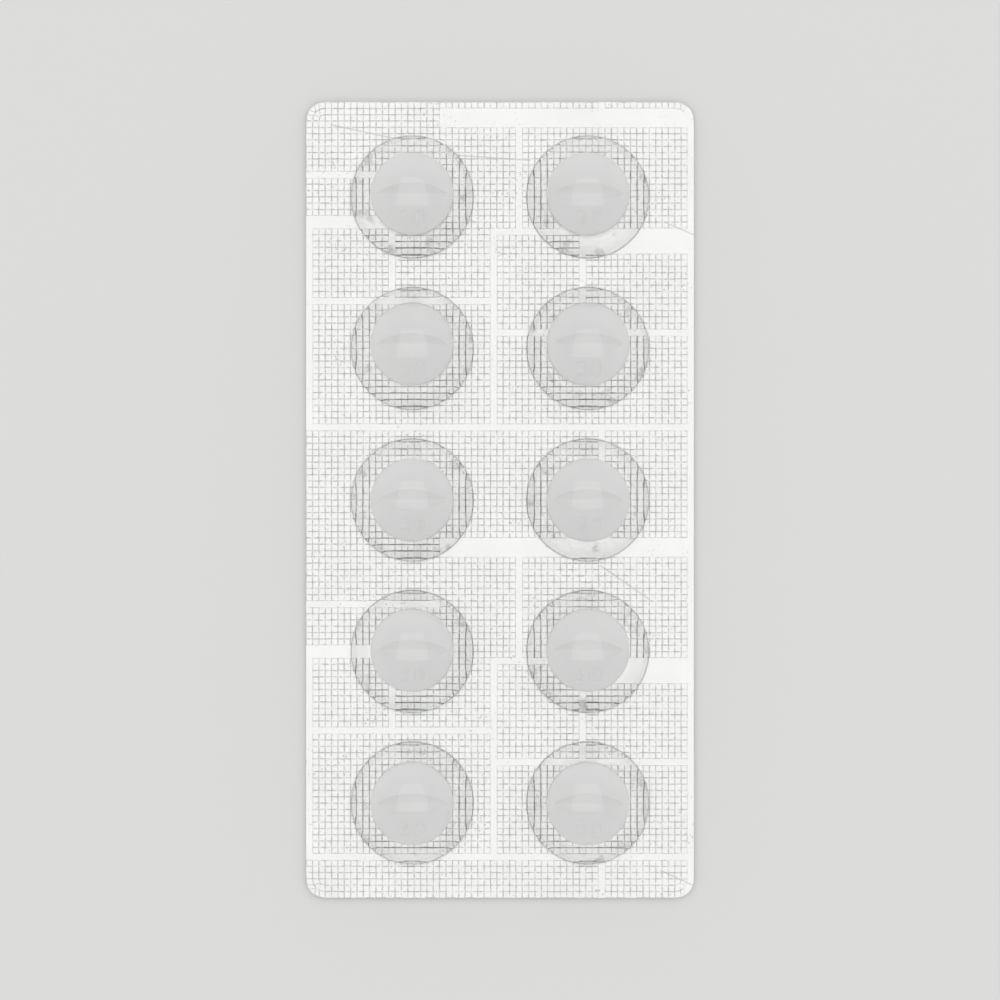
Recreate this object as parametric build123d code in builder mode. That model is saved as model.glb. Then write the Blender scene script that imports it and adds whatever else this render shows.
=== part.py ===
"""Push-through blister card: a clear formed film with domed pockets, a foil lid and loose tablets.

The card lies on its foil. The origin is the centre of the foil's underside, +Z points up through the
pockets and +Y along the card's long side. Sizes are in millimetres.
"""

import os
from math import radians, sqrt, tan

from build123d import *

# --- Driving dimensions ---------------------------------------------------------------------------

# Tablets: round, with a shallow spherical crown on both faces and a V score across the upper one.
tablet_diameter = 8.0
tablet_band = 1.3
tablet_crown = 1.1
tablet_rim_fillet = 0.2
score_depth = 0.8
score_angle = 106.0

# Materials of the card.
foil_thickness = 0.03
film_thickness = 0.25
pocket_wall = 0.2

# Room around each tablet inside its pocket, and how far each row has slid up the card.
side_clearance = 1.85
rim_clearance = 0.1
row_slides = (0.25, 0.4, 0.0, 0.15, 0.0)

# Flat film between and around the pockets.
columns = 2
column_bridge = 5.5
row_bridge = 3.15
side_margin = 4.55
end_margin = 3.45
corner_radius = 1.8
foot_fillet = 0.25

# --- Sizes that follow ----------------------------------------------------------------------------

rows = len(row_slides)
tablet_radius = tablet_diameter / 2
tablet_thickness = tablet_band + 2 * tablet_crown
crown_radius = (tablet_radius**2 + tablet_crown**2) / (2 * tablet_crown)
score_half_width = score_depth * tan(radians(score_angle / 2))

mouth_radius = tablet_radius + side_clearance
column_pitch = 2 * mouth_radius + column_bridge
row_pitch = 2 * mouth_radius + row_bridge
card_width = (columns - 1) * column_pitch + 2 * (mouth_radius + side_margin)
card_length = (rows - 1) * row_pitch + 2 * (mouth_radius + end_margin)

# A pocket is a spherical cap that starts at its mouth and just clears the upper rim of a tablet that
# has slid as far as any row's has.
rim_reach = tablet_radius + max(row_slides) + rim_clearance
rim_height = tablet_crown + tablet_band + rim_clearance
dome_centre = (rim_reach**2 + rim_height**2 - mouth_radius**2) / (2 * rim_height)
cavity_radius = sqrt(mouth_radius**2 + dome_centre**2)
dome_centre_z = foil_thickness + dome_centre
film_top = foil_thickness + film_thickness
mouth_fillet = foot_fillet + film_thickness
flange_radius = mouth_radius + mouth_fillet + pocket_wall


def cap_outline(radius, floor_z, step_z, bend_radius):
    """Half section of a spherical cap with a rounded foot that runs out into a flat flange.

    The flange is the slab between floor_z and step_z. The section is turned about the pocket's axis.
    """
    foot = sqrt(radius**2 - (step_z - dome_centre_z) ** 2)
    top = dome_centre_z + radius
    bend = radius / sqrt(2)
    with BuildSketch(Plane.XZ) as outline:
        with BuildLine():
            Line((0, floor_z), (flange_radius, floor_z))
            Line((flange_radius, floor_z), (flange_radius, step_z))
            Line((flange_radius, step_z), (foot, step_z))
            ThreePointArc((foot, step_z), (bend, dome_centre_z + bend), (0, top))
            Line((0, top), (0, floor_z))
        make_face()
        fillet(outline.vertices().sort_by_distance((foot, step_z))[0], radius=bend_radius)
    return outline


def save(piece, name):
    """Label a finished piece and write it to its own file."""
    piece.label = name
    export_step(piece, f"parts/{name}.step")


os.makedirs("parts", exist_ok=True)

# --- Lidding foil: one flat sheet under everything ------------------------------------------------

with BuildPart() as lidding_foil:
    with BuildSketch():
        RectangleRounded(card_width, card_length, corner_radius)
    extrude(amount=foil_thickness)

save(lidding_foil.part, "lidding_foil")

# --- Forming film: the flat sheet with a hollow dome over each tablet -----------------------------

with BuildPart() as pocket_form:
    add(cap_outline(cavity_radius + pocket_wall, foil_thickness, film_top, foot_fillet).sketch)
    revolve(axis=Axis.Z)

with BuildPart() as pocket_cavity:
    add(cap_outline(cavity_radius, 0, foil_thickness, mouth_fillet).sketch)
    revolve(axis=Axis.Z)

with BuildPart() as forming_film:
    with BuildSketch(Plane.XY.offset(foil_thickness)):
        RectangleRounded(card_width, card_length, corner_radius)
    extrude(amount=film_thickness)
    with GridLocations(column_pitch, row_pitch, columns, rows):
        add(pocket_form.part)
    with GridLocations(column_pitch, row_pitch, columns, rows):
        add(pocket_cavity.part, mode=Mode.SUBTRACT)

save(forming_film.part, "forming_film")

# --- Tablets: one shape, one loose in each pocket -------------------------------------------------

with BuildPart() as tablet:
    with BuildSketch(Plane.XZ):
        with BuildLine():
            lower_rim = (tablet_radius, tablet_crown)
            upper_rim = (tablet_radius, tablet_crown + tablet_band)
            RadiusArc((0, 0), lower_rim, -crown_radius)
            Line(lower_rim, upper_rim)
            RadiusArc(upper_rim, (0, tablet_thickness), -crown_radius)
            Line((0, tablet_thickness), (0, 0))
        make_face()
        fillet(vertices().group_by(Axis.X)[-1], radius=tablet_rim_fillet)
    revolve(axis=Axis.Z)
    with BuildSketch(Plane.YZ):
        with BuildLine():
            Polyline(
                (0, tablet_thickness - score_depth),
                (score_half_width, tablet_thickness),
                (-score_half_width, tablet_thickness),
                close=True,
            )
        make_face()
    extrude(amount=tablet_radius, both=True, mode=Mode.SUBTRACT)

for row, slide in enumerate(row_slides):
    y = ((rows - 1) / 2 - row) * row_pitch + slide
    for column in range(columns):
        x = (column - (columns - 1) / 2) * column_pitch
        with BuildPart() as placed_tablet:
            with Locations((x, y, foil_thickness)):
                add(tablet.part)
        save(placed_tablet.part, f"tablet_{row * columns + column + 1}")
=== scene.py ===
"""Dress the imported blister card: an embossed foil lid, a clear formed film and ten scored tablets.

Everything is in metres, in the frame of the CAD model. The card lies on its foil, +Z points up through
the pockets and +Y runs along the card.
"""

import math

import bmesh
import bpy
import numpy as np
from bpy.props import FloatProperty, FloatVectorProperty, IntProperty, PointerProperty
from mathutils import Matrix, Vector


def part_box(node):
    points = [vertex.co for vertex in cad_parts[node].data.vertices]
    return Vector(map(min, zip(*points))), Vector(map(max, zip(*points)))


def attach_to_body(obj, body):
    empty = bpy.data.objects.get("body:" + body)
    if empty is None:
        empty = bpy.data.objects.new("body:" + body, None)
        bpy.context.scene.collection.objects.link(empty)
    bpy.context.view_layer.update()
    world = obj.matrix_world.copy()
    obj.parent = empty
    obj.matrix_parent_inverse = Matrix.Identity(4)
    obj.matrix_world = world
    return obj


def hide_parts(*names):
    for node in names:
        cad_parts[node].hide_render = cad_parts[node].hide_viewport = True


bl_info = {
    "name": "Blister card",
    "version": (1, 0, 0),
    "blender": (4, 5, 0),
    "location": "3D View > Sidebar > Blister",
    "description": "Makes a push-through tablet card around its packed CAD model",
    "category": "Object",
}

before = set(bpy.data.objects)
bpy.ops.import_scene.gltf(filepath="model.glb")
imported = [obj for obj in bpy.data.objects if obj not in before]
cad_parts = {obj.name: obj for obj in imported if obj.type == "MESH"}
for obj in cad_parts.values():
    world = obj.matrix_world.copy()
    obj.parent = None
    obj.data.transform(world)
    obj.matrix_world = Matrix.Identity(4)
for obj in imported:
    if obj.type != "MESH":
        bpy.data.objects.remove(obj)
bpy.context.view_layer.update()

BODY = "root"
MM = 0.001
FILM_NODE = "forming_film"
FOIL_NODE = "lidding_foil"
TABLET_NODES = sorted(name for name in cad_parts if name.startswith("tablet_"))
FLOOR_GAP = 0.05 * MM
FOIL_GAP = 0.005 * MM
WELD = 1e-6
EMBOSS_SEED = 7
DOME_RINGS = 16
FILLET_RINGS = 4
FLAT_SHARES = (0.3, 0.65, 1.0)

# Panels of the sealing plate in one repeat, in millimetres: left, right, then how far down the repeat
# each one starts and ends. The bands between them stay smooth.
SEAL_PANELS = (
    (-18.9, -6.2, 0.5, 17.2),
    (-6.0, 5.3, 0.5, 10.9),
    (5.6, 9.9, 0.5, 10.9),
    (10.2, 18.1, 0.5, 10.9),
    (-6.0, 1.4, 12.5, 22.6),
    (2.0, 18.1, 12.5, 22.6),
    (-18.9, -6.2, 18.0, 21.5),
    (-18.2, -10.7, 22.6, 29.7),
    (-10.2, -0.7, 22.6, 29.7),
    (-18.2, -0.7, 30.4, 42.0),
    (-0.1, 7.5, 23.2, 32.7),
    (8.1, 18.1, 25.2, 29.8),
    (8.1, 18.1, 30.4, 32.7),
    (-0.1, 18.1, 33.0, 42.0),
)
# Creases in the foil, in millimetres from the middle of the card: start x, y, then end x, y.
CREASES = (
    (-16.6, 36.8, -9.8, 35.3),
    (-4.4, 33.8, 3.0, 33.3),
    (16.2, 27.2, 19.0, 26.0),
    (9.8, -6.4, 14.7, -9.8),
    (15.7, -36.3, 19.0, -37.8),
)


# --- Node helpers ---------------------------------------------------------------------------------


class Term:
    """One output of a node tree, so that a rule can be written as arithmetic."""

    def __init__(self, tree, socket):
        self.tree = tree
        self.socket = socket

    def math(self, operation, *others):
        node = self.tree.nodes.new("ShaderNodeMath")
        node.operation = operation
        for socket, value in zip(node.inputs, (self, *others)):
            fill(self.tree, socket, value)
        return Term(self.tree, node.outputs[0])

    def __add__(self, other):
        return self.math("ADD", other)

    def __sub__(self, other):
        return self.math("SUBTRACT", other)

    def __mul__(self, other):
        return self.math("MULTIPLY", other)

    def __truediv__(self, other):
        return self.math("DIVIDE", other)

    def above(self, limit):
        return self.math("GREATER_THAN", limit)

    def below(self, limit):
        return self.math("LESS_THAN", limit)

    def largest(self, other):
        return self.math("MAXIMUM", other)

    def smallest(self, other):
        return self.math("MINIMUM", other)

    def size(self):
        return self.math("ABSOLUTE")

    def fade(self, start, end, low=0.0, high=1.0):
        """A smooth step from low at start to high at end."""
        step = add(
            self.tree,
            "ShaderNodeMapRange",
            {"Value": self, "From Min": start, "From Max": end, "To Min": low, "To Max": high},
            interpolation_type="SMOOTHSTEP",
        )
        return Term(self.tree, step.outputs[0])


def fill(tree, socket, value):
    """Link a socket to a term, or set it."""
    if isinstance(value, Term):
        tree.links.new(value.socket, socket)
    else:
        socket.default_value = value


def add(tree, kind, inputs=(), **options):
    """A new node with its options set and its inputs, by name or number, filled."""
    node = tree.nodes.new(kind)
    for option, value in options.items():
        setattr(node, option, value)
    for socket, value in dict(inputs).items():
        fill(tree, node.inputs[socket], value)
    return node


def out(tree, kind, inputs=(), output=0, **options):
    """The chosen output of a new node, as a term."""
    node = add(tree, kind, inputs, **options)
    return Term(tree, node.outputs[output])


def split(tree, vector):
    """The three parts of a vector term."""
    node = add(tree, "ShaderNodeSeparateXYZ", {0: vector})
    return [Term(tree, socket) for socket in node.outputs]


def join(tree, x, y, z):
    """A vector term from three parts."""
    return out(tree, "ShaderNodeCombineXYZ", {0: x, 1: y, 2: z})


def noise(tree, place, scale, detail=2.0, roughness=0.5):
    """Soft noise, about 0.5 on average."""
    sockets = {"Vector": place, "Scale": scale, "Detail": detail, "Roughness": roughness}
    return out(tree, "ShaderNodeTexNoise", sockets, "Fac")


def scaled(tree, color, tone):
    """A colour made darker or lighter by a tone."""
    return out(tree, "ShaderNodeVectorMath", {0: color, 3: tone}, operation="SCALE")


def bumped(tree, height, strength, distance):
    """A normal that follows a height."""
    sockets = {"Strength": strength, "Distance": distance, "Height": height}
    return out(tree, "ShaderNodeBump", sockets)


# --- Settings -------------------------------------------------------------------------------------


class BlisterFoilSettings(bpy.types.PropertyGroup):
    """The lidding foil and the pattern that the sealing plate presses into it."""

    columns: IntProperty(name="Columns", description="Embossed cells across the card", default=61)
    rows: IntProperty(name="Rows", description="Embossed cells along the card", default=126)
    groove: FloatProperty(
        name="Groove",
        description="Share of a cell taken by the groove round it",
        default=0.2,
        subtype="FACTOR",
    )
    depth: FloatProperty(
        name="Emboss depth",
        description="Height of the cells above their grooves",
        default=0.035 * MM,
        precision=6,
        unit="LENGTH",
    )
    repeat: FloatProperty(
        name="Repeat",
        description="Length after which the sealing plate's panels come again",
        default=42.1 * MM,
        precision=5,
        unit="LENGTH",
    )
    repeat_top: FloatProperty(
        name="Repeat top",
        description="Place along the card where one repeat starts",
        default=49.3 * MM,
        precision=5,
        unit="LENGTH",
    )
    seat_radius: FloatProperty(
        name="Seat radius",
        description="Flat foil under the middle of each tablet",
        default=1.5 * MM,
        precision=5,
        unit="LENGTH",
    )
    color: FloatVectorProperty(
        name="Foil",
        description="Bare aluminium",
        default=(0.8, 0.8, 0.79),
        subtype="COLOR",
        min=0.0,
        max=1.0,
    )
    # Colour of the specks and of the painted shade in the pressed lines, creases and pocket rims.
    line_color: FloatVectorProperty(
        name="Pressed lines",
        description="Foil in the pressed lines and scuffs",
        default=(0.22, 0.22, 0.22),
        subtype="COLOR",
        min=0.0,
        max=1.0,
    )


class BlisterFilmSettings(bpy.types.PropertyGroup):
    """The clear film with its domed pockets."""

    mouth: FloatProperty(
        name="Mouth radius",
        description="Radius of a pocket's opening, inside",
        default=5.85 * MM,
        precision=5,
        unit="LENGTH",
    )
    wall: FloatProperty(
        name="Pocket wall",
        description="Wall of the drawn pockets",
        default=0.2 * MM,
        precision=5,
        unit="LENGTH",
    )
    foot_fillet: FloatProperty(
        name="Foot fillet",
        description="Outer bend where a pocket meets the flat film",
        default=0.25 * MM,
        precision=5,
        unit="LENGTH",
    )
    thickness: FloatProperty(
        name="Film",
        description="Flat film",
        default=0.25 * MM,
        precision=5,
        unit="LENGTH",
    )
    corner: FloatProperty(
        name="Corner radius",
        description="Corners of the card, film and foil alike",
        default=1.8 * MM,
        precision=5,
        unit="LENGTH",
    )
    angles: IntProperty(name="Facets", description="Faces round each pocket", default=144)


class BlisterTabletSettings(bpy.types.PropertyGroup):
    """The tablets, with their score and number."""

    band: FloatProperty(
        name="Band",
        description="Straight side between the two crowns",
        default=1.3 * MM,
        precision=5,
        unit="LENGTH",
    )
    crown: FloatProperty(
        name="Crown",
        description="Height of each domed face",
        default=1.1 * MM,
        precision=5,
        unit="LENGTH",
    )
    rim: FloatProperty(
        name="Rim fillet",
        description="Round between a crown and the band",
        default=0.2 * MM,
        precision=5,
        unit="LENGTH",
    )
    score_depth: FloatProperty(
        name="Score depth",
        description="Depth of the V across the upper face",
        default=0.8 * MM,
        precision=5,
        unit="LENGTH",
    )
    score_angle: FloatProperty(
        name="Score angle",
        description="Angle between the walls of the V",
        default=math.radians(106),
        subtype="ANGLE",
        unit="ROTATION",
    )
    number_depth: FloatProperty(
        name="Number depth",
        description="How deep the 30 is pressed in",
        default=0.05 * MM,
        precision=5,
        unit="LENGTH",
    )
    cells: IntProperty(name="Cells", description="Faces across the upper crown", default=120)
    color: FloatVectorProperty(
        name="Coating",
        description="Off-white tablet coating",
        default=(0.89, 0.89, 0.885),
        subtype="COLOR",
        min=0.0,
        max=1.0,
    )


class BlisterStageSettings(bpy.types.PropertyGroup):
    """The floor, the light and the camera."""

    view_height: FloatProperty(
        name="View height",
        description="Length of card that the camera would see from top to bottom",
        default=98.0 * MM,
        precision=5,
        unit="LENGTH",
    )
    lens: FloatProperty(name="Lens", description="Focal length", default=300.0, unit="CAMERA")
    softbox: FloatProperty(
        name="Softbox",
        description="Radiance of the softbox's face",
        default=0.52,
    )
    floor_color: FloatVectorProperty(
        name="Floor",
        description="Pale studio floor",
        default=(0.62, 0.62, 0.61),
        subtype="COLOR",
        min=0.0,
        max=1.0,
    )


class BlisterSettings(bpy.types.PropertyGroup):
    """All the sizes and colours of the blister card."""

    foil: PointerProperty(type=BlisterFoilSettings)
    film: PointerProperty(type=BlisterFilmSettings)
    tablet: PointerProperty(type=BlisterTabletSettings)
    stage: PointerProperty(type=BlisterStageSettings)


# --- Mesh helpers ---------------------------------------------------------------------------------


def new_object(name, mesh, material):
    """An object at the origin, linked to the scene."""
    mesh.materials.clear()
    mesh.materials.append(material)
    piece = bpy.data.objects.new(name, mesh)
    bpy.context.scene.collection.objects.link(piece)
    return piece


def attach(piece, node):
    """Let a finished piece stand for its CAD node."""
    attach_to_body(piece, BODY)
    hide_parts(node)


def round_corners(points, half_x, half_y, radius):
    """Pull the square corners of a sheet in to a quarter circle."""
    flat = np.array((half_x, half_y)) - radius
    beyond = np.maximum(np.abs(points[:, :2]) - flat, 0)
    reach = np.hypot(beyond[:, 0], beyond[:, 1])
    pull = beyond.max(axis=1) / np.maximum(reach, 1e-12)
    inner = np.minimum(np.abs(points[:, :2]), flat)
    points[:, :2] = np.sign(points[:, :2]) * (inner + beyond * pull[:, None])


def pocket_centres():
    """Where the domes peak, read from the CAD film."""
    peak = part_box(FILM_NODE)[1].z
    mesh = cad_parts[FILM_NODE].data
    tops = [v.co for v in mesh.vertices if v.co.z > peak - 1e-6]
    return sorted({(round(co.x, 5), round(co.y, 5)) for co in tops})


# --- Materials ------------------------------------------------------------------------------------


def new_material(name):
    """An empty node material: its tree, its Principled BSDF and its place on the object."""
    material = bpy.data.materials.new(name)
    material.use_nodes = True
    tree = material.node_tree
    shader = tree.nodes["Principled BSDF"]
    place = out(tree, "ShaderNodeTexCoord", output="Object")
    return material, tree, shader, place


def mottle_group():
    """Shared effect: soft patches with fine grain over them, as a value about 1."""
    tree = bpy.data.node_groups.get("soft_mottle")
    if tree:
        return tree
    tree = bpy.data.node_groups.new("soft_mottle", "ShaderNodeTree")
    tree.interface.new_socket("Place", in_out="INPUT", socket_type="NodeSocketVector")
    for name in ("Patch Scale", "Grain Scale", "Amount"):
        tree.interface.new_socket(name, in_out="INPUT", socket_type="NodeSocketFloat")
    tree.interface.new_socket("Tone", in_out="OUTPUT", socket_type="NodeSocketFloat")
    tree.interface.new_socket("Grain", in_out="OUTPUT", socket_type="NodeSocketFloat")
    given = tree.nodes.new("NodeGroupInput")
    place, patch_scale, grain_scale, amount = (Term(tree, s) for s in list(given.outputs)[:4])
    patch = noise(tree, place, patch_scale, 3.0)
    grain = noise(tree, place, grain_scale, 2.0)
    tone = ((patch * 0.7 + grain * 0.3) - 0.5) * amount + 1.0
    add(tree, "NodeGroupOutput", {"Tone": tone, "Grain": grain})
    return tree


def mottle(tree, place, patch_scale, grain_scale, amount):
    """Place the shared mottle: its tone and its grain."""
    group = tree.nodes.new("ShaderNodeGroup")
    group.node_tree = mottle_group()
    sockets = {
        "Place": place,
        "Patch Scale": patch_scale,
        "Grain Scale": grain_scale,
        "Amount": amount,
    }
    for name, value in sockets.items():
        fill(tree, group.inputs[name], value)
    return Term(tree, group.outputs["Tone"]), Term(tree, group.outputs["Grain"])


def crease_lines(tree, x, y):
    """How near a spot is to one of the foil's creases, from 0 to 1."""
    mark = None
    for start_x, start_y, end_x, end_y in CREASES:
        run = math.hypot(end_x - start_x, end_y - start_y) * MM
        along_x = (end_x - start_x) * MM / run
        along_y = (end_y - start_y) * MM / run
        from_x = x - start_x * MM
        from_y = y - start_y * MM
        along = from_x * along_x + from_y * along_y
        aside = (from_x * along_y - from_y * along_x).size()
        near = aside.fade(0.11 * MM, 0.03 * MM) * along.above(0.0) * along.below(run)
        mark = near if mark is None else mark.largest(near)
    return mark


def foil_material(settings):
    """Bright aluminium with specks, and painted shade in its pressed grid lines, along its creases and
    inside the pocket rims.
    """
    material, tree, shader, place = new_material("pressed_aluminium")
    x, y, _ = split(tree, place)
    cells = out(tree, "ShaderNodeAttribute", output="Vector", attribute_name="cells")
    panel = out(tree, "ShaderNodeAttribute", output="Fac", attribute_name="panel")
    wobble = noise(tree, place, 900.0, 2.0) - 0.5
    cell_x, cell_y, _ = split(tree, cells)
    # Painted shade in the pressed grooves: each grid line is drawn darker than its cells, more
    # strongly in some stretches than others.
    lines = []
    for cell in (cell_x, cell_y):
        middle = (cell + wobble * 0.22).math("FRACT") - 0.5
        lines.append(middle.size().fade(0.36, 0.47))
    broken = noise(tree, place, 1400.0, 3.0, 0.65).fade(0.36, 0.62)

    # Painted shade: inside a pocket the pressed lines are painted darker towards the wall, except on
    # the north side, where the light comes from.
    ring_radius = 5.5 * MM
    painted_rim_shade_x = None
    painted_rim_shade_y = None
    for centre_x, centre_y in pocket_centres():
        away_x = x - centre_x
        away_y = y - centre_y
        reach = (away_x * away_x + away_y * away_y).math("SQRT")
        ring = reach.fade(3.9 * MM, 4.6 * MM) * reach.fade(6.05 * MM, 5.85 * MM)
        side = (away_x.size() / ring_radius).fade(0.35, 0.95) * ring
        south_shade = (away_y / -ring_radius).fade(0.3, 0.9) * ring
        painted_rim_shade_x = side if painted_rim_shade_x is None else painted_rim_shade_x.largest(side)
        painted_rim_shade_y = south_shade if painted_rim_shade_y is None else painted_rim_shade_y.largest(south_shade)
    groove_and_rim_shade_x = lines[0] * (broken * 0.42 + painted_rim_shade_x * 0.5)
    groove_and_rim_shade_y = lines[1] * (broken * 0.42 + painted_rim_shade_y * 0.5)
    # Noise breaks the painted rim shade into patches.
    rim_shade_breakup = noise(tree, place, 520.0, 3.0, 0.6).fade(0.55, 0.7)
    patchy_rim_shade = rim_shade_breakup * painted_rim_shade_x.largest(painted_rim_shade_y) * 0.4
    # Painted shade of the grooves and the pocket rims, kept to the panels.
    grid = groove_and_rim_shade_x.largest(groove_and_rim_shade_y) * panel

    specks = out(tree, "ShaderNodeTexVoronoi", {"Vector": place, "Scale": 2300.0}, "Distance")
    dense = noise(tree, place, 260.0, 2.0).fade(0.46, 0.68)
    speck = specks.fade(0.24, 0.1) * dense * 0.6
    # Painted shade along the foil's creases, which the bump below also dents.
    crease_shade = crease_lines(tree, x, y)
    # The painted shade and the specks darken the foil towards the dark mark colour, and also roughen
    # and dent it.
    painted_shade_and_specks = grid.largest(speck).largest(patchy_rim_shade).largest(crease_shade * 0.3)
    tone, grain = mottle(tree, place, 170.0, 3200.0, 0.2)
    foil_and_painted_shade = out(
        tree,
        "ShaderNodeMix",
        {0: painted_shade_and_specks, 6: (*settings.color, 1.0), 7: (*settings.line_color, 1.0)},
        2,
        data_type="RGBA",
    )
    fill(tree, shader.inputs["Base Color"], scaled(tree, foil_and_painted_shade, tone))
    shader.inputs["Metallic"].default_value = 1.0
    fill(tree, shader.inputs["Roughness"], painted_shade_and_specks * 0.25 + 0.3)
    height = (painted_shade_and_specks * -1.0) + grain * 0.35
    fill(tree, shader.inputs["Normal"], bumped(tree, height, 0.35, 0.02 * MM))
    return material


def film_material():
    """Clear hard film, with the faint waviness of drawn sheet."""
    material, tree, shader, place = new_material("clear_film")
    shader.inputs["Base Color"].default_value = (0.99, 0.995, 0.99, 1.0)
    shader.inputs["Transmission Weight"].default_value = 1.0
    shader.inputs["IOR"].default_value = 1.5
    _, grain = mottle(tree, place, 200.0, 420.0, 0.1)
    fill(tree, shader.inputs["Roughness"], grain * 0.03)
    fill(tree, shader.inputs["Normal"], bumped(tree, grain, 0.12, 0.05 * MM))
    return material


def tablet_material(settings):
    """Smooth off-white film coating with the faint grain of the pressed powder under it."""
    material, tree, shader, place = new_material("tablet_coating")
    tone, grain = mottle(tree, place, 500.0, 5200.0, 0.05)
    fill(tree, shader.inputs["Base Color"], scaled(tree, settings.color, tone))
    fill(tree, shader.inputs["Roughness"], grain * 0.12 + 0.3)
    fill(tree, shader.inputs["Normal"], bumped(tree, grain, 0.15, 0.01 * MM))
    return material


# --- Foil -----------------------------------------------------------------------------------------

FOIL_INPUTS = (
    ("Width", "NodeSocketFloat"),
    ("Length", "NodeSocketFloat"),
    ("Sheet", "NodeSocketFloat"),
    ("Columns", "NodeSocketInt"),
    ("Rows", "NodeSocketInt"),
    ("Groove", "NodeSocketFloat"),
    ("Depth", "NodeSocketFloat"),
    ("Repeat", "NodeSocketFloat"),
    ("Repeat Top", "NodeSocketFloat"),
    ("Corner", "NodeSocketFloat"),
    ("Seat Radius", "NodeSocketFloat"),
    ("Seats", "NodeSocketObject"),
    ("Seed", "NodeSocketInt"),
    ("Material", "NodeSocketMaterial"),
)


def panel_rule(tree, x, down):
    """1 inside one of the sealing plate's panels, 0 in the smooth bands between them."""
    inside = None
    for left, right, start, end in SEAL_PANELS:
        across = x.above(left * MM) * x.below(right * MM)
        along = down.above(start * MM) * down.below(end * MM)
        here = across * along
        inside = here if inside is None else inside.largest(here)
    return inside


def corner_rule(tree, x, y, given):
    """The place of a spot once the sheet's square corners are pulled in to quarter circles."""
    flat_x = given["Width"] * 0.5 - given["Corner"]
    flat_y = given["Length"] * 0.5 - given["Corner"]
    beyond_x = (x.size() - flat_x).largest(0.0)
    beyond_y = (y.size() - flat_y).largest(0.0)
    reach = (beyond_x * beyond_x + beyond_y * beyond_y).math("SQRT")
    pull = beyond_x.largest(beyond_y) / reach.largest(1e-9)
    new_x = x.math("SIGN") * (x.size().smallest(flat_x) + beyond_x * pull)
    new_y = y.math("SIGN") * (y.size().smallest(flat_y) + beyond_y * pull)
    return new_x, new_y


def foil_tree():
    """Geometry Nodes: a thin sheet whose cells stand up inside the sealing plate's panels."""
    tree = bpy.data.node_groups.new("embossed_foil", "GeometryNodeTree")
    for name, kind in FOIL_INPUTS:
        tree.interface.new_socket(name, in_out="INPUT", socket_type=kind)
    tree.interface.new_socket("Foil", in_out="OUTPUT", socket_type="NodeSocketGeometry")
    entry = tree.nodes.new("NodeGroupInput")
    given = {name: Term(tree, entry.outputs[name]) for name, _ in FOIL_INPUTS}

    sheet = out(
        tree,
        "GeometryNodeMeshGrid",
        {
            "Size X": given["Width"],
            "Size Y": given["Length"],
            "Vertices X": given["Columns"] + 1.0,
            "Vertices Y": given["Rows"] + 1.0,
        },
        "Mesh",
    )
    place = out(tree, "GeometryNodeInputPosition")
    x, y, _ = split(tree, place)
    down = (given["Repeat Top"] + given["Repeat"] - y).math("FLOORED_MODULO", given["Repeat"])
    sheet = out(
        tree,
        "GeometryNodeStoreNamedAttribute",
        {"Geometry": sheet, "Name": "panel", "Value": panel_rule(tree, x, down)},
        data_type="FLOAT",
        domain="FACE",
    )

    seats = out(tree, "GeometryNodeObjectInfo", {"Object": given["Seats"]}, "Geometry")
    far = out(
        tree,
        "GeometryNodeProximity",
        {0: seats},
        "Distance",
        target_element="POINTS",
    )
    panel = out(
        tree,
        "GeometryNodeInputNamedAttribute",
        {"Name": "panel"},
        "Attribute",
        data_type="FLOAT",
    )
    random = add(
        tree,
        "FunctionNodeRandomValue",
        {"Seed": given["Seed"]},
        data_type="FLOAT",
    )
    random.inputs[2].default_value = 0.55
    random.inputs[3].default_value = 1.0
    lift = Term(tree, random.outputs[1]) * given["Depth"]
    raised = add(
        tree,
        "GeometryNodeExtrudeMesh",
        {
            "Mesh": sheet,
            "Selection": panel * far.above(given["Seat Radius"]),
            "Offset Scale": lift,
            "Individual": True,
        },
        mode="FACES",
    )
    narrowed = out(
        tree,
        "GeometryNodeScaleElements",
        {
            "Geometry": Term(tree, raised.outputs["Mesh"]),
            "Selection": Term(tree, raised.outputs["Top"]),
            "Scale": given["Groove"] * -1.0 + 1.0,
        },
        domain="FACE",
    )

    # Cell numbers for the pressed lines, kept before the corners are pulled in.
    spot = out(tree, "GeometryNodeInputPosition")
    spot_x, spot_y, spot_z = split(tree, spot)
    cells = join(
        tree,
        (spot_x / given["Width"] + 0.5) * given["Columns"],
        (spot_y / given["Length"] + 0.5) * given["Rows"],
        0.0,
    )
    numbered = out(
        tree,
        "GeometryNodeStoreNamedAttribute",
        {"Geometry": narrowed, "Name": "cells", "Value": cells},
        data_type="FLOAT_VECTOR",
        domain="POINT",
    )
    new_x, new_y = corner_rule(tree, spot_x, spot_y, given)
    upper = out(
        tree,
        "GeometryNodeSetPosition",
        {"Geometry": numbered, "Position": join(tree, new_x, new_y, spot_z + given["Sheet"])},
    )

    # The underside follows the upper side, and the rim closes the sheet.
    drop = join(tree, 0.0, 0.0, given["Sheet"] * -1.0)
    sunk = add(
        tree,
        "GeometryNodeExtrudeMesh",
        {"Mesh": upper, "Offset": drop, "Offset Scale": 1.0, "Individual": False},
        mode="FACES",
    )
    under = out(tree, "GeometryNodeFlipFaces", {"Mesh": Term(tree, sunk.outputs["Mesh"])})
    both = tree.nodes.new("GeometryNodeJoinGeometry")
    tree.links.new(under.socket, both.inputs[0])
    tree.links.new(upper.socket, both.inputs[0])
    closed = out(
        tree,
        "GeometryNodeMergeByDistance",
        {"Geometry": Term(tree, both.outputs[0]), "Distance": 1e-7},
    )
    realized = out(tree, "GeometryNodeRealizeInstances", {"Geometry": closed})
    dressed = out(
        tree,
        "GeometryNodeSetMaterial",
        {"Geometry": realized, "Material": given["Material"]},
    )
    add(tree, "NodeGroupOutput", {"Foil": dressed})
    return tree


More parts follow.
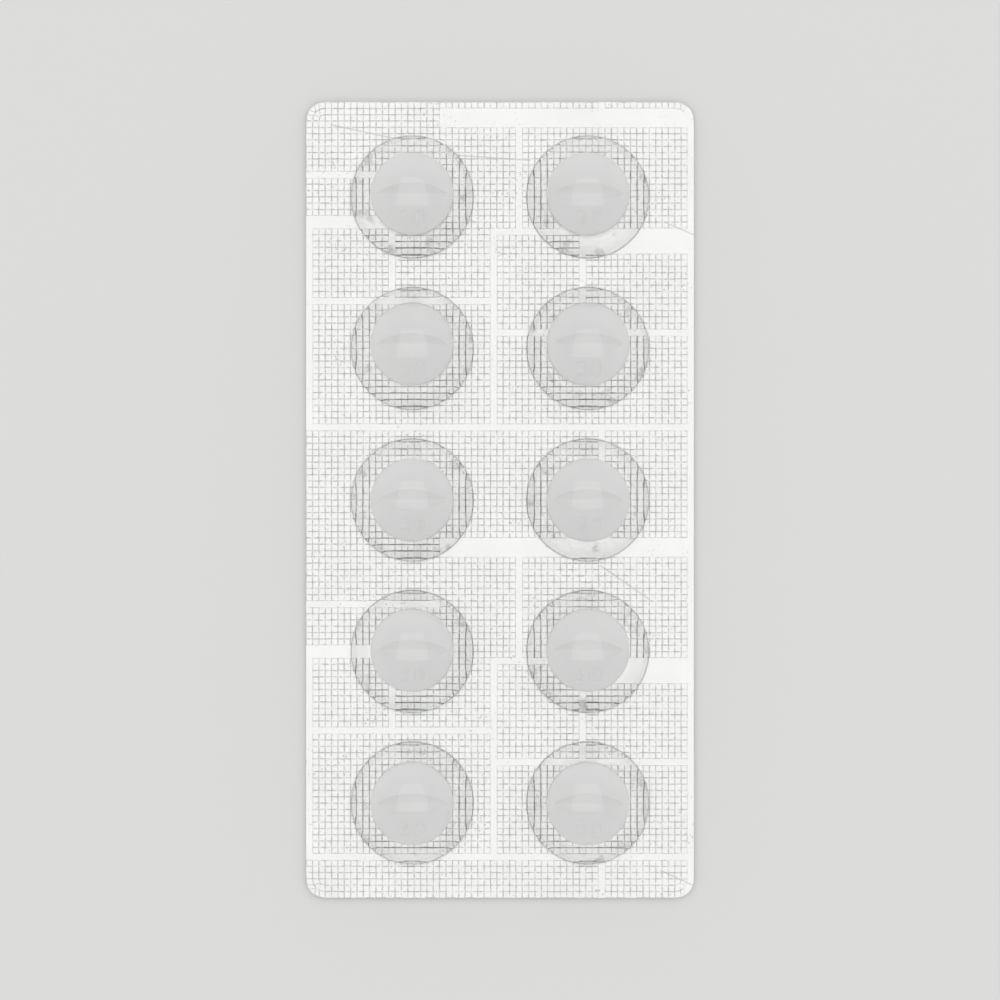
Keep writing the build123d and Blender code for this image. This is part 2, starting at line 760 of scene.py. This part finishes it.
class BLISTER_OT_foil(bpy.types.Operator):
    """Make the embossed foil lid"""

    bl_idname = "blister.foil"
    bl_label = "Foil"

    def execute(self, context):
        settings = context.scene.blister
        low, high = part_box(FOIL_NODE)
        seats = bpy.data.meshes.new("seats")
        spots = []
        for node in TABLET_NODES:
            node_low, node_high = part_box(node)
            middle = (node_low + node_high) / 2
            spots.append((middle.x, middle.y, 0.0))
        seats.from_pydata(spots, [], [])
        seat_object = bpy.data.objects.new("seats", seats)
        context.scene.collection.objects.link(seat_object)
        values = {
            "Width": high.x - low.x,
            "Length": high.y - low.y,
            "Sheet": high.z - low.z,
            "Columns": settings.foil.columns,
            "Rows": settings.foil.rows,
            "Groove": settings.foil.groove,
            "Depth": settings.foil.depth,
            "Repeat": settings.foil.repeat,
            "Repeat Top": settings.foil.repeat_top,
            "Corner": settings.film.corner,
            "Seat Radius": settings.foil.seat_radius,
            "Seats": seat_object,
            "Seed": EMBOSS_SEED,
            "Material": foil_material(settings.foil),
        }
        blank = bpy.data.meshes.new("foil_blank")
        holder = bpy.data.objects.new("foil_blank", blank)
        context.scene.collection.objects.link(holder)
        modifier = holder.modifiers.new("embossed_foil", "NODES")
        modifier.node_group = foil_tree()
        for item in modifier.node_group.interface.items_tree:
            if item.in_out == "INPUT":
                modifier[item.identifier] = values[item.name]
        graph = context.evaluated_depsgraph_get()
        mesh = bpy.data.meshes.new_from_object(holder.evaluated_get(graph))
        if not mesh.polygons:
            raise RuntimeError("the foil tree made no faces")
        bpy.data.objects.remove(holder)
        bpy.data.objects.remove(seat_object)
        foil = new_object("embossed_foil", mesh, values["Material"])
        attach(foil, FOIL_NODE)
        return {"FINISHED"}


# --- Film -----------------------------------------------------------------------------------------


def pocket_profile(radius, centre_z, floor_z, bend):
    """Radius and height of each ring, from a dome's peak down to where it has run flat."""
    rise = floor_z + bend - centre_z
    bend_r = math.sqrt((radius + bend) ** 2 - rise**2)
    meet = math.atan2(bend_r, rise)
    rings = []
    for step in range(1, DOME_RINGS + 1):
        turn = meet * step / DOME_RINGS
        rings.append((radius * math.sin(turn), centre_z + radius * math.cos(turn)))
    for step in range(1, FILLET_RINGS + 1):
        turn = meet * (1 - step / FILLET_RINGS)
        rings.append((bend_r - bend * math.sin(turn), floor_z + bend - bend * math.cos(turn)))
    return rings


def tile_edges(places, low, high):
    """Edges of the tiles round a row of places: halfway between them, and the card's own edges."""
    middles = [(a + b) / 2 for a, b in zip(places, places[1:])]
    return [low, *middles, high]


def pocket_tile(mesh, centre, tile, profile, peak_z, angles, upward):
    """Add one pocket, with the flat film round it out to its tile's edges."""
    left, right, bottom, top = tile
    turns = np.arange(angles) * 2 * math.pi / angles
    for corner_x in (left, right):
        for corner_y in (bottom, top):
            exact = math.atan2(corner_y - centre[1], corner_x - centre[0]) % (2 * math.pi)
            turns[np.argmin(np.abs(turns - exact))] = exact
    cos, sin = np.cos(turns), np.sin(turns)
    reach_x = np.where(cos > 0, right - centre[0], centre[0] - left) / np.maximum(abs(cos), 1e-9)
    reach_y = np.where(sin > 0, top - centre[1], centre[1] - bottom) / np.maximum(abs(sin), 1e-9)
    edge = np.minimum(reach_x, reach_y)
    flat_r, flat_z = profile[-1]
    rings = [(np.full(angles, r), z) for r, z in profile]
    rings += [(flat_r + (edge - flat_r) * share, flat_z) for share in FLAT_SHARES]
    grid = []
    for reach, z in rings:
        grid.append([
            mesh.verts.new((centre[0] + r * c, centre[1] + r * s, z))
            for r, c, s in zip(reach, cos, sin)
        ])
    peak = mesh.verts.new((*centre, peak_z))
    for turn in range(angles):
        after = (turn + 1) % angles
        corners = [(peak, grid[0][turn], grid[0][after])]
        for inner, outer in zip(grid, grid[1:]):
            corners.append((inner[turn], outer[turn], outer[after], inner[after]))
        for face in corners:
            mesh.faces.new(face if upward else face[::-1])


class BLISTER_OT_film(bpy.types.Operator):
    """Make the clear film with its domed pockets"""

    bl_idname = "blister.film"
    bl_label = "Film"

    def execute(self, context):
        settings = context.scene.blister.film
        low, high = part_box(FILM_NODE)
        emboss_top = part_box(FOIL_NODE)[1].z + context.scene.blister.foil.depth
        under_z = emboss_top + FOIL_GAP
        upper_z = low.z + settings.thickness
        rise = high.z - settings.wall - low.z
        cavity = (settings.mouth**2 + rise**2) / (2 * rise)
        centre_z = high.z - settings.wall - cavity
        outer = pocket_profile(cavity + settings.wall, centre_z, upper_z, settings.foot_fillet)
        bend = settings.foot_fillet + settings.thickness
        inner = pocket_profile(cavity, centre_z, under_z, bend)
        centres = pocket_centres()
        columns = tile_edges(sorted({x for x, _ in centres}), low.x, high.x)
        rows = tile_edges(sorted({y for _, y in centres}), low.y, high.y)
        mesh = bmesh.new()
        for x, y in centres:
            left, right = max(e for e in columns if e < x), min(e for e in columns if e > x)
            bottom, top = max(e for e in rows if e < y), min(e for e in rows if e > y)
            tile = (left, right, bottom, top)
            pocket_tile(mesh, (x, y), tile, outer, high.z, settings.angles, True)
            pocket_tile(mesh, (x, y), tile, inner, high.z - settings.wall, settings.angles, False)
        bmesh.ops.remove_doubles(mesh, verts=mesh.verts, dist=WELD)
        rim = [edge for edge in mesh.edges if edge.is_boundary]
        bmesh.ops.bridge_loops(mesh, edges=rim)
        bmesh.ops.recalc_face_normals(mesh, faces=mesh.faces)
        points = np.array([v.co for v in mesh.verts])
        round_corners(points, high.x, high.y, settings.corner)
        for vert, point in zip(mesh.verts, points):
            vert.co = point
        data = bpy.data.meshes.new("clear_film")
        mesh.to_mesh(data)
        mesh.free()
        data.shade_smooth()
        data.set_sharp_from_angle(angle=math.radians(50))
        film = new_object("clear_film", data, film_material())
        attach(film, FILM_NODE)
        return {"FINISHED"}


# --- Tablets --------------------------------------------------------------------------------------


def rounded_box(x, y, half_x, half_y, radius):
    """Signed distance to a rounded rectangle."""
    over_x = np.abs(x) - half_x + radius
    over_y = np.abs(y) - half_y + radius
    outside = np.hypot(np.maximum(over_x, 0), np.maximum(over_y, 0))
    return outside + np.minimum(np.maximum(over_x, over_y), 0) - radius


def number_mask(x, y):
    """1 inside the strokes of a plain 30 pressed below the score, in millimetres."""
    half_stroke = 0.1
    soft_edge = 0.09
    middle_y = -2.4
    half_width = 0.37
    half_height = 0.62
    half_bowl = half_height / 2
    zero_x = 0.77
    three_x = -0.67
    opening_x = three_x - 0.1
    outline = rounded_box(x - zero_x, y - middle_y, half_width, half_height, 0.3)
    zero = np.abs(outline) - half_stroke
    bowls = []
    for bowl_y in (middle_y + half_bowl, middle_y - half_bowl):
        outline = rounded_box(x - three_x, y - bowl_y, half_width, half_bowl, 0.28)
        bowls.append(np.abs(outline) - half_stroke)
    opening = np.minimum(opening_x - x, 0.42 - np.abs(y - middle_y))
    three = np.maximum(np.minimum(*bowls), opening)
    return np.clip(0.5 - np.minimum(zero, three) / soft_edge, 0, 1)


def disc_grid(cells):
    """An even grid of a unit disc, as a square of points."""
    steps = np.linspace(-1, 1, cells + 1)
    u, v = np.meshgrid(steps, steps)
    wide = np.abs(u) > np.abs(v)
    reach = np.where(wide, u, v)
    ratio = np.where(wide, v, u) / np.where(reach == 0, 1, reach) * math.pi / 4
    x = np.where(wide, reach * np.cos(ratio), reach * np.sin(ratio))
    y = np.where(wide, reach * np.sin(ratio), reach * np.cos(ratio))
    return x, y


def tablet_mesh(settings, radius):
    """One tablet centred over the origin, resting at height 0."""
    thick = settings.band + 2 * settings.crown
    sphere = (radius**2 + settings.crown**2) / (2 * settings.crown)
    centre_z = thick - sphere
    side_r = radius - settings.rim
    fillet_z = centre_z + math.sqrt((sphere - settings.rim) ** 2 - side_r**2)
    lean = math.atan2(side_r, fillet_z - centre_z)
    face_r = sphere * math.sin(lean)

    grid_x, grid_y = disc_grid(settings.cells)
    grid_x = grid_x * face_r
    grid_y = grid_y * face_r
    crown = centre_z + np.sqrt(sphere**2 - grid_x**2 - grid_y**2)
    root = 0.06 * MM
    slope = math.tan(settings.score_angle / 2)
    score = thick - settings.score_depth + (np.hypot(grid_y, root) - root) / slope
    blend = 0.05 * MM
    apart = np.clip(0.5 + (score - crown) / (2 * blend), 0, 1)
    height = score * (1 - apart) + crown * apart - blend * apart * (1 - apart)
    height = height - settings.number_depth * number_mask(grid_x / MM, grid_y / MM)

    count = settings.cells + 1
    points = [tuple(p) for p in np.stack((grid_x, grid_y, height), -1).reshape(-1, 3)]
    faces = []
    for row in range(settings.cells):
        for column in range(settings.cells):
            first = row * count + column
            faces.append((first, first + 1, first + count + 1, first + count))
    border = list(range(settings.cells))
    border += [row * count + settings.cells for row in range(settings.cells)]
    border += [count * count - 1 - step for step in range(settings.cells)]
    border += [(count - 1 - step) * count for step in range(settings.cells)]
    turns = [math.atan2(points[index][1], points[index][0]) for index in border]

    profile = []
    for step in range(1, FILLET_RINGS + 1):
        turn = lean + (math.pi / 2 - lean) * step / FILLET_RINGS
        r = side_r + settings.rim * math.sin(turn)
        profile.append((r, fillet_z + settings.rim * math.cos(turn)))
    lower = [(r, thick - z) for r, z in reversed(profile)]
    lower.append((face_r, thick - centre_z - math.sqrt(sphere**2 - face_r**2)))
    for share in (0.8, 0.55, 0.3):
        r = face_r * share
        lower.append((r, sphere - math.sqrt(sphere**2 - r**2)))
    ring = border
    for r, z in profile + lower:
        start = len(points)
        points += [(r * math.cos(turn), r * math.sin(turn), z) for turn in turns]
        following = list(range(start, len(points)))
        for step in range(len(ring)):
            after = (step + 1) % len(ring)
            faces.append((ring[step], following[step], following[after], ring[after]))
        ring = following
    points.append((0.0, 0.0, 0.0))
    for step in range(len(ring)):
        faces.append((ring[step], len(points) - 1, ring[(step + 1) % len(ring)]))
    mesh = bpy.data.meshes.new("scored_tablet")
    mesh.from_pydata(points, [], faces)
    mesh.shade_smooth()
    return mesh


class BLISTER_OT_tablets(bpy.types.Operator):
    """Make the ten scored tablets"""

    bl_idname = "blister.tablets"
    bl_label = "Tablets"

    def execute(self, context):
        settings = context.scene.blister.tablet
        material = tablet_material(settings)
        low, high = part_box(TABLET_NODES[0])
        pattern = tablet_mesh(settings, (high.x - low.x) / 2)
        for node in TABLET_NODES:
            low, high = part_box(node)
            middle = (low + high) / 2
            mesh = pattern.copy()
            mesh.transform(Matrix.Translation((middle.x, middle.y, low.z)))
            tablet = new_object("scored_" + node, mesh, material)
            attach(tablet, node)
        bpy.data.meshes.remove(pattern)
        return {"FINISHED"}


# --- Stage ----------------------------------------------------------------------------------------


def floor_material(settings):
    """Plain matt floor."""
    material, tree, shader, place = new_material("studio_floor")
    tone, _ = mottle(tree, place, 2.0, 20.0, 0.01)
    fill(tree, shader.inputs["Base Color"], scaled(tree, settings.floor_color, tone))
    shader.inputs["Roughness"].default_value = 0.9
    return material


def make_camera(settings, plane_z):
    """A long lens straight above the card."""
    data = bpy.data.cameras.new("camera")
    data.lens = settings.lens
    distance = settings.view_height * settings.lens / data.sensor_width
    camera = bpy.data.objects.new("camera", data)
    camera.location = (0.0, 0.0, plane_z + distance)
    bpy.context.scene.collection.objects.link(camera)
    bpy.context.scene.camera = camera


def make_softbox(settings):
    """One wide softbox overhead, its far edge raised towards the north."""
    width, length = 1.58, 1.89
    data = bpy.data.lights.new("softbox", "AREA")
    data.shape = "RECTANGLE"
    data.size = width
    data.size_y = length
    data.energy = settings.softbox * width * length * math.pi
    softbox = bpy.data.objects.new("softbox", data)
    softbox.location = (0.0, 0.5, 1.648)
    softbox.rotation_euler = (math.radians(18.4), 0.0, 0.0)
    bpy.context.scene.collection.objects.link(softbox)


def make_world():
    """Soft light from all round, dimmer overhead and a little stronger from the north."""
    world = bpy.data.worlds.new("studio")
    world.use_nodes = True
    tree = world.node_tree
    background = tree.nodes["Background"]
    toward = out(tree, "ShaderNodeTexCoord", output="Generated")
    _, north, up = split(tree, toward)
    level = up.fade(0.3, 0.95, 1.35, 0.8) * north.fade(-1.0, 1.0, 0.92, 1.08)
    fill(tree, background.inputs["Color"], join(tree, level, level, level))
    bpy.context.scene.world = world


class BLISTER_OT_stage(bpy.types.Operator):
    """Make the floor, the light and the camera"""

    bl_idname = "blister.stage"
    bl_label = "Stage"

    def execute(self, context):
        settings = context.scene.blister.stage
        low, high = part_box(FOIL_NODE)
        reach = 4.0
        floor_z = low.z - FLOOR_GAP
        mesh = bpy.data.meshes.new("floor")
        corners = [(-reach, -reach), (reach, -reach), (reach, reach), (-reach, reach)]
        mesh.from_pydata([(x, y, floor_z) for x, y in corners], [], [(0, 1, 2, 3)])
        floor = new_object("floor", mesh, floor_material(settings))
        make_camera(settings, high.z + context.scene.blister.film.thickness)
        make_softbox(settings)
        make_world()
        context.scene.view_settings.view_transform = "Standard"
        return {"FINISHED"}


class BLISTER_PT_panel(bpy.types.Panel):
    """Lists the card's sizes and the steps that make it"""

    bl_label = "Blister card"
    bl_idname = "BLISTER_PT_panel"
    bl_space_type = "VIEW_3D"
    bl_region_type = "UI"
    bl_category = "Blister"

    def draw(self, context):
        settings = context.scene.blister
        for group, step in (
            (settings.foil, BLISTER_OT_foil),
            (settings.film, BLISTER_OT_film),
            (settings.tablet, BLISTER_OT_tablets),
            (settings.stage, BLISTER_OT_stage),
        ):
            box = self.layout.box()
            for name in group.__annotations__:
                box.prop(group, name)
            box.operator(step.bl_idname)


CLASSES = (
    BlisterFoilSettings,
    BlisterFilmSettings,
    BlisterTabletSettings,
    BlisterStageSettings,
    BlisterSettings,
    BLISTER_OT_foil,
    BLISTER_OT_film,
    BLISTER_OT_tablets,
    BLISTER_OT_stage,
    BLISTER_PT_panel,
)


def register():
    for cls in CLASSES:
        bpy.utils.register_class(cls)
    bpy.types.Scene.blister = PointerProperty(type=BlisterSettings)


def unregister():
    del bpy.types.Scene.blister
    for cls in reversed(CLASSES):
        bpy.utils.unregister_class(cls)


def main():
    """Make every piece and the stage."""
    register()
    bpy.ops.blister.foil()
    bpy.ops.blister.film()
    bpy.ops.blister.tablets()
    bpy.ops.blister.stage()


if __name__ == "__main__":
    main()
